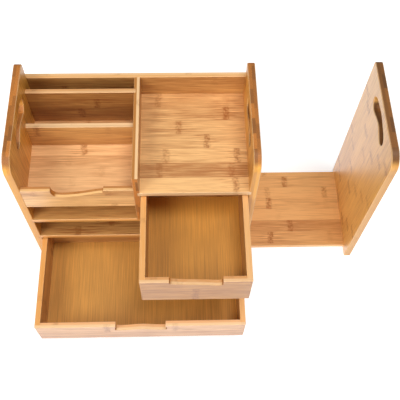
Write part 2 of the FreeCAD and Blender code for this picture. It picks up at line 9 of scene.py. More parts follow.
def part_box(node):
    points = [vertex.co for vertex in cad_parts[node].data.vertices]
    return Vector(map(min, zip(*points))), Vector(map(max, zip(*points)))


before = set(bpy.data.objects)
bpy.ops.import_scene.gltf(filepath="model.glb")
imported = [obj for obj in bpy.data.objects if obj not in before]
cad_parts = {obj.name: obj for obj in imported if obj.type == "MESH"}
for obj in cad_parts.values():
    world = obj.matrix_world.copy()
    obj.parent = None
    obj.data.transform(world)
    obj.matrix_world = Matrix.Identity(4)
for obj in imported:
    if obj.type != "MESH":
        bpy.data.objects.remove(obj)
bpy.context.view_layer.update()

bl_info = {
    "name": "Bamboo Desk Organizer",
    "version": (1, 0, 0),
    "blender": (4, 5, 0),
    "location": "3D View > Sidebar > Organizer",
    "description": "Finishes of a bamboo desk organizer, and its stage",
    "category": "Object",
}

AXES = {"x": 0, "y": 1, "z": 2}
MM = 0.001
WHITE = (1, 1, 1, 1)

# Each board: its node, the axis that its fibres follow, the axis across its strips, the
# tone of each ply along its long edges (0 dark, 1 cream, more where hardly a streak
# shows), its colour, the weight of its lacquer's gloss, the width of its strips in
# millimetres and a seed for its pattern.
BOARDS = {
    "panels": (
        ("left_side_panel", "z", "y", (0.35, 0.2), "tan", 0.35, 26.4, 3),
        ("right_side_panel", "z", "y", (0.2, 0.35), "tan", 0.35, 26.4, 11),
        ("bookend_panel", "z", "y", (0.1, 0.0), "pale", 0.9, 26.4, 23),
    ),
    "carcass": (
        ("back_panel", "x", "z", (0.7, 0.9), "honey", 0.35, 28, 5),
        ("centre_divider", "y", "z", (0.15, 0.95), "honey", 0.35, 27, 8),
        # The tall divider takes the darker toffee colour, partly as painted shade on the file
        # slot's back wall.
        ("rear_slot_divider", "x", "z", (0.8, 0.65), "toffee", 0.35, 26, 13),
        ("front_slot_divider", "x", "z", (1.05, 1.05), "honey", 0.35, 25.5, 17),
        ("left_tray_floor", "x", "y", (0.8, 0.8), "blond", 0.35, 20, 19),
        ("left_tray_lip", "x", "z", (0.7, 0.0), "peach", 0.35, 26, 29),
        # The right tray floor's plies are set to full cream: a painted highlight along its rounded
        # front edge.
        ("right_tray_floor", "x", "y", (1.15, 1.25), "peach", 0.35, 26.43, 31),
        ("upper_shelf", "x", "y", (0.45, 0.6), "honey", 0.35, 26.43, 37),
        ("lower_shelf", "x", "y", (0.5, 0.65), "honey", 0.35, 26.43, 41),
        ("bottom_board", "x", "y", (0.5, 0.7), "honey", 0.35, 26.43, 43),
        ("front_runner", "x", "z", (0.5,), "honey", 0.35, 24, 47),
        ("rear_runner", "x", "z", (0.5,), "honey", 0.35, 24, 53),
        ("stop_block", "y", "x", (0.5,), "honey", 0.35, 14, 59),
    ),
    "small_drawer": (
        ("small_drawer_front", "x", "z", (0.85, 0.6), "toffee", 0.0, 38, 61),
        ("small_drawer_left_side", "y", "z", (0.58,), "honey", 0.35, 38, 67),
        ("small_drawer_right_side", "y", "z", (0.7,), "honey", 0.35, 38, 71),
        ("small_drawer_back", "x", "z", (0.7,), "honey", 0.35, 38, 73),
    ),
    "wide_drawer": (
        ("wide_drawer_front", "x", "z", (1.05, 0.65), "rose", 0.2, 31, 79),
        ("wide_drawer_left_side", "y", "z", (0.54,), "honey", 0.35, 31, 83),
        ("wide_drawer_right_side", "y", "z", (0.65,), "honey", 0.35, 31, 89),
        ("wide_drawer_back", "x", "z", (0.6,), "honey", 0.35, 31, 97),
    ),
    "sheet": (
        ("extension_sheet", "x", "y", (0.6,), "amber", 0.35, 23.8, 101),
        ("stop_cleat", "y", "x", (0.5,), "honey", 0.35, 14, 103),
    ),
}
# The strips that show most, counted from the board's low edge: the tone of each, how far
# one of its knuckles is from the low end of its fibres in millimetres, and how strongly its
# even and its odd knuckles show.
STRIPS = {
    "right_tray_floor": (
        (0.95, 40, 0.0, 0.7), (0.20, 35, 0.5, 0.6), (0.75, 45, 0.5, 0.7), (0.65, 110, 0.0, 0.8),
        (0.60, 65, 0.0, 0.6), (0.45, 30, 0.1, 0.9), (0.45, 32, 0.5, 0.2),
    ),
    "extension_sheet": (
        (0.50, 0, 0.0, 0.0), (0.50, 104, 1.0, 0.2), (0.25, 31, 1.0, 0.2), (1.00, 10, 0.1, 0.1),
        (0.75, 105, 1.0, 0.1), (1.00, 104, 0.4, 0.6), (0.85, 28, 0.8, 0.2), (1.00, 100, 0.4, 0.1),
    ),
    # Its rear strips, under the file slots, are set darkest: partly the strips' own tone, partly
    # painted shade in the slots.
    "left_tray_floor": (
        (0.90, 20, 0.1, 0.0), (0.80, 75, 0.0, 0.1), (0.70, 10, 0.0, 0.2), (0.50, 65, 0.0, 0.2),
        (0.75, 90, 0.0, 0.8), (0.35, 95, 0.0, 0.2), (0.20, 10, 0.0, 0.3), (0.25, 95, 0.0, 0.5),
        (0.40, 40, 0.0, 0.2),
    ),
    "bookend_panel": (
        (0.70, 80, 0.5, 0.8), (0.60, 55, 0.8, 0.6), (0.75, 25, 0.8, 0.6), (0.65, 100, 0.6, 0.8),
        (0.75, 20, 0.7, 0.7), (0.60, 50, 0.8, 0.6), (0.70, 60, 0.6, 0.8),
    ),
}
# How much of a board's first strip was sawn off, in millimetres.
SAWN_OFF = {"extension_sheet": 18.8}
# The drawers' bottom panels: node, colour and a seed for the pattern.
VENEERS = (
    ("small_drawer_bottom", "brown_veneer", 107),
    ("wide_drawer_bottom", "veneer", 109),
)
SCREWS = ("left_panel_screws", "right_panel_screws", "back_board_screws", "bookend_screws")

# The ranges below are written as inputs of a map range, whose sockets add_node lists.

# Strips: how far the joints of one ply are set off from the last one's in millimetres, what
# keeps a board's upper face in its last ply, what keeps the chances of plies and boards
# apart, the tones that a strip may have, and how far its chance shifts the pattern along,
# across and through it, in millimetres.
STAGGER = 9
PLY_SLACK = 0.01
PLY_KEY, SEED_STEP = 37.3, 5.1
STRIP_TONES = {3: 0.28, 4: 0.72}
SHUFFLE = (400, 90, 90)

# Noises in the bamboo: cells per millimetre along the fibres, across them and through the
# plies, detail and roughness. The fibre bundles are 0.3 to 0.5 mm wide in life, too fine to
# show, so their lines are drawn 1 mm wide.
NOISES = {
    "streak": ((0.018, 0.5, 0.5), 3.0, 0.66),  # 56 mm long, 2 mm wide
    "broad": ((0.01, 0.1, 0.1), 1.0, 0.5),  # 100 mm long, 10 mm wide
    "fine": ((0.03, 1.0, 1.0), 2.0, 0.5),  # 33 mm long, 1 mm wide
    "dapple": ((0.22, 0.26, 0.26), 1.0, 0.5),  # 4 mm either way
    "bow": ((0.01, 0.07, 0.07), 0.0, 0.5),  # 100 mm long, 14 mm wide
}
# How strongly each of them changes the tone of a face, and the streaks that of an edge.
STREAK_GAIN, BROAD_GAIN, FINE_GAIN = 1.2, 0.7, 1.4
EDGE_STREAK = 0.3

# Knuckles, in millimetres: how far a band bows, how far its ends fray, how far beyond and
# inside its half length it fades, and how far off the streaks start and end to grow.
BOW, FRAY = 4.0, 5.0
FADE_OUT, FADE_IN = 5.0, 1.0
FLARE_FROM, FLARE_TO = 42.0, 4.0
# The spacing of a band's bars, as a share of its half length, and how strong it stays
# between them; how its dapple turns into strength; how its chance does; how much the
# streaks grow beside it.
BAR_SPACING, BETWEEN_BARS = 0.75, 0.8
MOTTLE = {1: 0.68, 2: 0.36, 3: 0.3, 4: 1.15}
KNUCKLE_CHANCE = {1: 0.3, 2: 0.9}
FLARE = 2.6
# The strongest knuckle on a face, and how much less it is on a long edge.
KNUCKLE_SHARE, KNUCKLE_EDGE_LOSS = 0.9, 0.6

# Tones of a board's colour, as factors of its red, green and blue. The palest ones stay in
# hue: green and blue rise with red, which goes no further than BRIGHTEST.
DARK = (0.62, 0.48, 0.36)
DARK_EDGE = (0.70, 0.56, 0.42)
KNUCKLE_BROWN = (0.44, 0.24, 0.06)
GLUE_BROWN = (0.45, 0.34, 0.25)
MOST_GAIN, BRIGHTEST = 1.28, 0.98
LIGHT_POWERS = (1, 1.64, 2.2)
EDGE_POWERS, EDGE_RED = (1, 1.4, 0.9), 1.12

# The glue line between strips fades from GLUE_IN to GLUE_OUT millimetres off the joint.
GLUE_IN, GLUE_OUT, GLUE_SHARE = 0.1, 0.6, 0.18
# How much of a face's normal has to lie along an axis before its look starts to change,
# and has changed: to a long edge's across the strips, and to a sawn end's along the
# fibres. Half turned, it is an eased edge, which is made paler: partly rubbing wear,
# partly a painted highlight where the rounding catches the light.
EDGE_TURN = {1: 0.25, 2: 0.6}
END_TURN = {1: 0.4, 2: 0.8}
EASED_TURN, RUB_AND_HIGHLIGHT = {1: 0.1, 2: 0.3}, 0.4
# Fibre ends are drawn 1 mm apart, twice as far as in life, so that they show. They and the
# chance of a strip change the level of a sawn end's colour.
END_CELLS = (0.1, 1.0, 1.0)
END_SPECKS = {1: 0.1, 2: 0.7, 3: 0.74, 4: 1.14}
END_BLOCKS = {3: 0.70, 4: 1.45}

# The middle range of a noise, where most of its values lie.
NOISE_RANGE = {1: 0.3, 2: 0.7}
# Lacquer: its IOR, the roughness of its gloss, how much rougher than its setting it is over
# dark and over pale fibres, how much less gloss the edges and ends keep, and how much
# rougher the ends are. The relief in it is 0.08 mm deep.
LACQUER_IOR, GLOSS_ROUGHNESS = 1.5, 0.45
OVER_DARK, OVER_PALE = 0.06, -0.04
GLOSS_LOSS, END_ROUGHNESS = 0.8, 0.2
BAMBOO_RELIEF = {"Strength": 0.35, "Distance": 0.08 * MM}

# Veneer, in cells per millimetre: fibre lines, drawn 1.25 mm apart because the real ones of
# 0.5 mm don't show, and clouds 45 mm wide and 70 mm long where the cane's knuckles were
# peeled. Then how far each changes the colour's level, how far a seed shifts the pattern in
# millimetres, and the roughness added over dark and over pale fibres, where the thin
# lacquer sinks in further than on the boards.
VENEER_FIBRES, FIBRE_LEVELS = (0.8, 0.012, 0.8), {3: 0.80, 4: 1.20}
VENEER_CLOUDS, CLOUD_LEVELS = (0.022, 0.014, 0.022), {3: 0.93, 4: 1.07}
VENEER_SHIFT = (31, 17, 0)
VENEER_DARK, VENEER_PALE = 0.12, 0.04
VENEER_MIRROR = 0.4
VENEER_RELIEF = {"Strength": 0.3, "Distance": 0.06 * MM}

# Zinc plate: 500 clouds to the metre, which is one every 2 mm, the colours and the
# roughness between which they change, and a relief 0.02 mm deep.
ZINC_CLOUDS = 500.0
ZINC_BLUE, ZINC_YELLOW = "#B9BBBE", "#D2D2CC"
ZINC_ROUGHNESS = {3: 0.28, 4: 0.42}
ZINC_RELIEF = {"Strength": 0.2, "Distance": 0.02 * MM}

# The lamps: name, place and width in metres. All of them point at the organizer.
LAMPS = (
    ("left", (-1.90, -1.60, 2.80), 1.8),
    ("top", (0.60, -0.40, 3.85), 1.6),
    ("front", (-0.40, -3.60, 1.30), 2.0),
)
LAMP_AIM = (0, 0, 0.1)
# The floor reaches 4 m to each side, 0.2 mm under the feet. It shines a little by itself, so
# that it is white to the camera, and more so where the lacquer mirrors it.
FLOOR_REACH, FLOOR_DROP = 4, 0.2 * MM
FLOOR_SHINE, MIRRORED_SHINE = 0.5, 1.8
# The width of the camera's sensor, in millimetres.
SENSOR = 36


def linear(code):
    """An sRGB hex colour as linear red, green and blue."""
    parts = [int(code[i:i + 2], 16) / 255 for i in (1, 3, 5)]
    return tuple(c / 12.92 if c <= 0.04045 else ((c + 0.055) / 1.055) ** 2.4 for c in parts)


def toned(colour, factors):
    """A colour with its red, green and blue scaled, no brighter than BRIGHTEST."""
    return tuple(min(BRIGHTEST, c * f) for c, f in zip(colour, factors)) + (1,)


def add_node(tree, kind, settings=None, inputs=None, links=None):
    """Add a node: its own settings, values of its inputs, and links into its inputs.

    Sockets go by name, or by number where names repeat. A map range takes its value at 0,
    the range that comes in at 1 and 2 and the one that goes out at 3 and 4. A mix takes
    its share at 0, and its numbers at 2 and 3, or its colours at 6 and 7, which give the
    result at 2.
    """
    node = tree.nodes.new(kind)
    for key, value in (settings or {}).items():
        setattr(node, key, value)
    for key, value in (inputs or {}).items():
        node.inputs[key].default_value = value
    for key, source in (links or {}).items():
        tree.links.new(source, node.inputs[key])
    return node


def new_material(name):
    """An empty node material and its tree."""
    material = bpy.data.materials.new(name)
    material.use_nodes = True
    material.node_tree.nodes.clear()
    return material, material.node_tree


def cover(node, material):
    """Give a piece its one material."""
    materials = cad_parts[node].data.materials
    materials.clear()
    materials.append(material)


class BambooSettings(bpy.types.PropertyGroup):
    """Sizes and colours of the bamboo."""

    knuckles: bpy.props.FloatProperty(
        name="Knuckles", description="Distance between the cane's knuckles along a strip",
        default=112 * MM, min=60 * MM, max=500 * MM, unit="LENGTH",
    )
    knuckle_width: bpy.props.FloatProperty(
        name="Knuckle width", description="Length of the brown band that a knuckle leaves",
        default=10 * MM, min=2 * MM, max=30 * MM, unit="LENGTH",
    )
    honey: bpy.props.FloatVectorProperty(
        name="Honey", description="Colour of the shelves, the back, the drawers' sides and others",
        default=linear("#C88C4A"), min=0, max=1, subtype="COLOR",
    )
    tan: bpy.props.FloatVectorProperty(
        name="Tan", description="Colour of the side panels",
        default=linear("#EFAB46"), min=0, max=1, subtype="COLOR",
    )
    # Amber is set paler than the sheet's own tone: partly its own colour, partly painted light
    # making up for the carcass's shadow over it.
    amber: bpy.props.FloatVectorProperty(
        name="Amber", description="Colour of the sliding sheet",
        default=linear("#FFC47C"), min=0, max=1, subtype="COLOR",
    )
    pale: bpy.props.FloatVectorProperty(
        name="Pale", description="Colour of the bookend",
        default=linear("#FFC86C"), min=0, max=1, subtype="COLOR",
    )
    peach: bpy.props.FloatVectorProperty(
        name="Peach", description="Colour of the right tray's floor and the left tray's lip",
        default=linear("#E4A868"), min=0, max=1, subtype="COLOR",
    )
    rose: bpy.props.FloatVectorProperty(
        name="Rose", description="Colour of the wide drawer's front",
        default=linear("#CA905E"), min=0, max=1, subtype="COLOR",
    )
    blond: bpy.props.FloatVectorProperty(
        name="Blond", description="Colour of the left tray's floor",
        default=linear("#F6C084"), min=0, max=1, subtype="COLOR",
    )
    # On the tall divider this colour partly stands in for the file slot's shade: painted shade.
    toffee: bpy.props.FloatVectorProperty(
        name="Toffee", description="Colour of the small drawer's front and the tall divider",
        default=linear("#B4773A"), min=0, max=1, subtype="COLOR",
    )
    cream: bpy.props.FloatVectorProperty(
        name="Cream", description="Colour of the palest plies along the boards' edges",
        default=linear("#F8CE9A"), min=0, max=1, subtype="COLOR",
    )
    veneer: bpy.props.FloatVectorProperty(
        name="Veneer", description="Colour of the wide drawer's bottom panel",
        default=linear("#D09546"), min=0, max=1, subtype="COLOR",
    )
    brown_veneer: bpy.props.FloatVectorProperty(
        name="Brown veneer", description="Colour of the small drawer's bottom panel",
        default=linear("#CC8D3A"), min=0, max=1, subtype="COLOR",
    )
    end_grain: bpy.props.FloatVectorProperty(
        name="End grain", description="Colour of sawn ends, whose open fibres drink the lacquer",
        default=linear("#AC6A2A"), min=0, max=1, subtype="COLOR",
    )
    brown_end: bpy.props.FloatVectorProperty(
        name="Brown end", description="Colour of the bookend's sawn ends, darker than the others",
        default=linear("#7A4C1C"), min=0, max=1, subtype="COLOR",
    )
    roughness: bpy.props.FloatProperty(
        name="Roughness", description="Roughness of the satin lacquer",
        default=0.38, min=0.05, max=1, subtype="FACTOR",
    )


class StageSettings(bpy.types.PropertyGroup):
    """The camera, the lamps and the floor."""

    lens: bpy.props.FloatProperty(
        name="Lens", description="Focal length on a 36 mm sensor, in millimetres",
        default=59.75, min=20, max=200,
    )
    place: bpy.props.FloatVectorProperty(
        name="Camera", description="Where the camera stands",
        default=(-0.02877, -0.49101, 1.14975), unit="LENGTH",
    )
    tilt: bpy.props.FloatProperty(
        name="Tilt", description="How far the camera looks down",
        default=math.radians(62.646), unit="ROTATION",
    )
    heading: bpy.props.FloatProperty(
        name="Heading", description="Turn of the camera to the left, seen from above",
        default=math.radians(-3.292), unit="ROTATION",
    )
    roll: bpy.props.FloatProperty(
        name="Roll", description="Turn of the camera about its own line of sight",
        default=math.radians(2.247), unit="ROTATION",
    )
    left: bpy.props.FloatProperty(
        name="Left lamp", description="Power of the broad lamp on the left, in watts",
        default=54, min=0, max=500,
    )
    top: bpy.props.FloatProperty(
        name="Top lamp", description="Power of the broad lamp overhead, in watts",
        default=68, min=0, max=500,
    )
    front: bpy.props.FloatProperty(
        name="Front lamp", description="Power of the broad low lamp in front, in watts",
        default=46, min=0, max=500,
    )
    fill: bpy.props.FloatProperty(
        name="Surroundings", description="Strength of the plain light from all round",
        default=0.18, min=0, max=3,
    )
    floor: bpy.props.FloatVectorProperty(
        name="Floor", description="Colour of the floor",
        default=linear("#F2F2F2"), min=0, max=1, subtype="COLOR",
    )


def board_space(tree, node, low, axes):
    """Where a point is on its board, and how far its face turns to each of three axes.

    The axes run along the fibres, across the strips and through the plies. The place is in
    millimetres from the board's low corner, or from where its first strip would start.
    """
    place = add_node(tree, "ShaderNodeTexCoord")
    at = add_node(tree, "ShaderNodeSeparateXYZ", links={0: place.outputs["Object"]})
    turned = add_node(
        tree, "ShaderNodeCombineXYZ",
        links={index: at.outputs[AXES[axis]] for index, axis in enumerate(axes)},
    )
    start = [-low[AXES[axis]] / MM for axis in axes]
    start[1] += SAWN_OFF.get(node, 0)
    board_at = add_node(
        tree, "ShaderNodeVectorMath", {"operation": "MULTIPLY_ADD"},
        {1: (1 / MM, 1 / MM, 1 / MM), 2: start}, {0: turned.outputs[0]},
    )
    normal = add_node(tree, "ShaderNodeSeparateXYZ", links={0: place.outputs["Normal"]})
    facing = [
        add_node(
            tree, "ShaderNodeMath", {"operation": "ABSOLUTE"},
            links={0: normal.outputs[AXES[axis]]},
        ).outputs[0]
        for axis in axes
    ]
    return board_at.outputs[0], facing


def strip_pattern(tree, node, across, ply_share, plies, strip, seed, knuckles):
    """Which ply and which strip a point is in, and what that strip is like.

    Chance gives a strip its tone and the place of its knuckles, unless the strips of the
    board are listed.
    """
    ply_of = add_node(
        tree, "ShaderNodeMath", {"operation": "MULTIPLY"}, {1: len(plies) - PLY_SLACK},
        {0: ply_share},
    )
    ply = add_node(tree, "ShaderNodeMath", {"operation": "FLOOR"}, links={0: ply_of.outputs[0]})
    staggered = add_node(
        tree, "ShaderNodeMath", {"operation": "MULTIPLY_ADD"},
        {1: 0 if node in STRIPS else STAGGER}, {0: ply.outputs[0], 2: across},
    )
    strip_of = add_node(
        tree, "ShaderNodeMath", {"operation": "DIVIDE"}, {1: strip}, {0: staggered.outputs[0]},
    )
    number = add_node(
        tree, "ShaderNodeMath", {"operation": "FLOOR"}, links={0: strip_of.outputs[0]},
    )
    within = add_node(
        tree, "ShaderNodeMath", {"operation": "FRACT"}, links={0: strip_of.outputs[0]},
    )
    key = add_node(
        tree, "ShaderNodeMath", {"operation": "MULTIPLY_ADD"}, {1: PLY_KEY},
        {0: ply.outputs[0], 2: number.outputs[0]},
    )
    seeded = add_node(
        tree, "ShaderNodeMath", {"operation": "ADD"}, {1: seed * SEED_STEP}, {0: key.outputs[0]},
    )
    chance = add_node(
        tree, "ShaderNodeTexWhiteNoise", {"noise_dimensions": "1D"},
        links={"W": seeded.outputs[0]},
    )
    chances = add_node(tree, "ShaderNodeSeparateColor", links={0: chance.outputs["Color"]})
    pattern = {
        "within": within.outputs[0], "seeded": seeded.outputs[0],
        "chance": chance.outputs["Color"], "block": chances.outputs[2],
    }
    if node not in STRIPS:
        tone = add_node(
            tree, "ShaderNodeMapRange", None, STRIP_TONES, {0: chances.outputs[0]},
        )
        pattern.update(tone=tone.outputs[0], first=chances.outputs[1])
        return pattern
    # The list is kept in a ramp with one step for each strip: its tone as red, the place of
    # its knuckle as green, and the strengths of its even and odd knuckles as blue and alpha.
    strips = STRIPS[node]
    strip_share = add_node(
        tree, "ShaderNodeMath", {"operation": "MULTIPLY_ADD"},
        {1: 1 / len(strips), 2: 0.5 / len(strips)}, {0: number.outputs[0]},
    )
    ramp = add_node(tree, "ShaderNodeValToRGB", links={0: strip_share.outputs[0]})
    step_ramp(ramp.color_ramp, [
        (tone, (0.5 - knuckle * MM / knuckles) % 1, even, odd)
        for tone, knuckle, even, odd in strips
    ])
    listed = add_node(tree, "ShaderNodeSeparateColor", links={0: ramp.outputs[0]})
    pattern.update(
        tone=listed.outputs[0], first=listed.outputs[1], even=listed.outputs[2],
        odd=ramp.outputs[1],
    )
    return pattern


def step_ramp(ramp, colours):
    """Turn a new colour ramp into equal steps, one for each colour."""
    ramp.interpolation = "CONSTANT"
    if len(colours) == 1:
        ramp.elements.remove(ramp.elements[1])
    for index, colour in enumerate(colours):
        if index > 1:
            ramp.elements.new(index / len(colours))
        ramp.elements[index].position = index / len(colours)
        ramp.elements[index].color = colour


def knuckle_marks(tree, along, pattern, noises, sizes):
    """How strongly a knuckle marks a point, and how much stronger its streaks are for it.

    A knuckle leaves a band with darker bars, bowed, dappled and frayed at its ends, and the
    fibres darken towards it.
    """
    spacing = sizes.knuckles / MM
    half = sizes.knuckle_width / MM / 2
    bowed = add_node(
        tree, "ShaderNodeMath", {"operation": "MULTIPLY_ADD"}, {1: BOW},
        {0: noises["bow"], 2: along},
    )
    spaced = add_node(
        tree, "ShaderNodeMath", {"operation": "MULTIPLY_ADD"}, {1: 1 / spacing},
        {0: bowed.outputs[0], 2: pattern["first"]},
    )
    count = add_node(
        tree, "ShaderNodeMath", {"operation": "FLOOR"}, links={0: spaced.outputs[0]},
    )
    period = add_node(
        tree, "ShaderNodeMath", {"operation": "FRACT"}, links={0: spaced.outputs[0]},
    )
    offset = add_node(
        tree, "ShaderNodeMath", {"operation": "MULTIPLY_ADD"}, {1: spacing, 2: -spacing / 2},
        {0: period.outputs[0]},
    )
    distance = add_node(
        tree, "ShaderNodeMath", {"operation": "ABSOLUTE"}, links={0: offset.outputs[0]},
    )
    frayed = add_node(
        tree, "ShaderNodeMath", {"operation": "MULTIPLY_ADD"}, {1: FRAY},
        {0: noises["dapple"], 2: distance.outputs[0]},
    )
    band = add_node(
        tree, "ShaderNodeMapRange", {"interpolation_type": "SMOOTHSTEP"},
        {1: half + FADE_OUT, 2: half - FADE_IN}, {0: frayed.outputs[0]},
    )
    wave = add_node(
        tree, "ShaderNodeMath", {"operation": "MULTIPLY"},
        {1: 2 * math.pi / (half * BAR_SPACING)}, {0: distance.outputs[0]},
    )
    bars = add_node(tree, "ShaderNodeMath", {"operation": "COSINE"}, links={0: wave.outputs[0]})
    barred = add_node(
        tree, "ShaderNodeMapRange", None, {1: -1.0, 3: BETWEEN_BARS}, {0: bars.outputs[0]},
    )
    mottle = add_node(tree, "ShaderNodeMapRange", None, MOTTLE, {0: noises["dapple"]})
    if "even" in pattern:
        parity = add_node(
            tree, "ShaderNodeMath", {"operation": "MODULO"}, {1: 2.0}, {0: count.outputs[0]},
        )
        strength = add_node(
            tree, "ShaderNodeMix", {"data_type": "FLOAT"},
            links={0: parity.outputs[0], 2: pattern["even"], 3: pattern["odd"]},
        )
    else:
        luck_at = add_node(
            tree, "ShaderNodeCombineXYZ", links={0: count.outputs[0], 1: pattern["seeded"]},
        )
        luck = add_node(
            tree, "ShaderNodeTexWhiteNoise", {"noise_dimensions": "3D"},
            links={"Vector": luck_at.outputs[0]},
        )
        strength = add_node(
            tree, "ShaderNodeMapRange", None, KNUCKLE_CHANCE, {0: luck.outputs[0]},
        )
    mark = band
    for factor in (mottle, barred, strength):
        mark = add_node(
            tree, "ShaderNodeMath", {"operation": "MULTIPLY"},
            links={0: mark.outputs[0], 1: factor.outputs[0]},
        )
    flare = add_node(
        tree, "ShaderNodeMapRange", {"interpolation_type": "SMOOTHSTEP"},
        {1: FLARE_FROM, 2: FLARE_TO, 4: FLARE}, {0: distance.outputs[0]},
    )
    growth = add_node(
        tree, "ShaderNodeMath", {"operation": "MULTIPLY_ADD"}, {2: 1.0},
        {0: flare.outputs[0], 1: strength.outputs[0]},
    )
    return mark.outputs[0], growth.outputs[0]


def face_colour(tree, colour, pattern, noises, growth):
    """The colour of a face, and its streaks: strip by strip, with streaks and fine lines."""
    streaks = add_node(
        tree, "ShaderNodeMath", {"operation": "MULTIPLY_ADD"},
        {1: STREAK_GAIN, 2: -STREAK_GAIN / 2}, {0: noises["streak"]},
    )
    tone = add_node(
        tree, "ShaderNodeMath", {"operation": "MULTIPLY_ADD"},
        links={0: streaks.outputs[0], 1: growth, 2: pattern["tone"]},
    )
    for noise, gain in (("broad", BROAD_GAIN), ("fine", FINE_GAIN)):
        part = add_node(
            tree, "ShaderNodeMath", {"operation": "MULTIPLY_ADD"}, {1: gain, 2: -gain / 2},
            {0: noises[noise]},
        )
        tone = add_node(
            tree, "ShaderNodeMath", {"operation": "ADD"},
            links={0: tone.outputs[0], 1: part.outputs[0]},
        )
    gain = min(MOST_GAIN, BRIGHTEST / colour[0])
    face = add_node(
        tree, "ShaderNodeMix", {"data_type": "RGBA"},
        {6: toned(colour, DARK), 7: toned(colour, [gain ** power for power in LIGHT_POWERS])},
        {0: tone.outputs[0]},
    )
    return face.outputs[2], streaks.outputs[0]


def edge_colour(tree, colour, plies, ply_share, streaks, cream):
    """The colour of a long edge: ply by ply, with faint streaks."""
    ply_ramp = add_node(tree, "ShaderNodeValToRGB", links={0: ply_share})
    step_ramp(ply_ramp.color_ramp, [(tone, tone, tone, 1) for tone in plies])
    ply_tone = add_node(tree, "ShaderNodeSeparateColor", links={0: ply_ramp.outputs[0]})
    tone = add_node(
        tree, "ShaderNodeMath", {"operation": "MULTIPLY_ADD"}, {1: EDGE_STREAK},
        {0: streaks, 2: ply_tone.outputs[0]},
    )
    gain = min(MOST_GAIN, BRIGHTEST / colour[0])
    red, green, blue = (gain ** power for power in EDGE_POWERS)
    middle = toned(colour, (red * EDGE_RED, green, blue))
    edge = add_node(tree, "ShaderNodeValToRGB", links={0: tone.outputs[0]})
    edge.color_ramp.elements.new(0.5)
    shades = (toned(colour, DARK_EDGE), middle, cream)
    for element, shade in zip(edge.color_ramp.elements, shades):
        element.color = shade
    return edge.outputs[0]


def end_colour(tree, colour, board_at, block):
    """The colour of a sawn end: speckled with fibre ends, each block in its own tone."""
    specks_at = add_node(
        tree, "ShaderNodeVectorMath", {"operation": "MULTIPLY"}, {1: END_CELLS}, {0: board_at},
    )
    specks = add_node(
        tree, "ShaderNodeTexVoronoi", None, {"Scale": 1.0}, {"Vector": specks_at.outputs[0]},
    )
    speck = add_node(
        tree, "ShaderNodeMapRange", None, END_SPECKS, {0: specks.outputs[0]},
    )
    block_tone = add_node(tree, "ShaderNodeMapRange", None, END_BLOCKS, {0: block})
    level = add_node(
        tree, "ShaderNodeMath", {"operation": "MULTIPLY"},
        links={0: speck.outputs[0], 1: block_tone.outputs[0]},
    )
    end = add_node(
        tree, "ShaderNodeVectorMath", {"operation": "SCALE"}, {0: colour}, {3: level.outputs[0]},
    )
    return end.outputs[0]


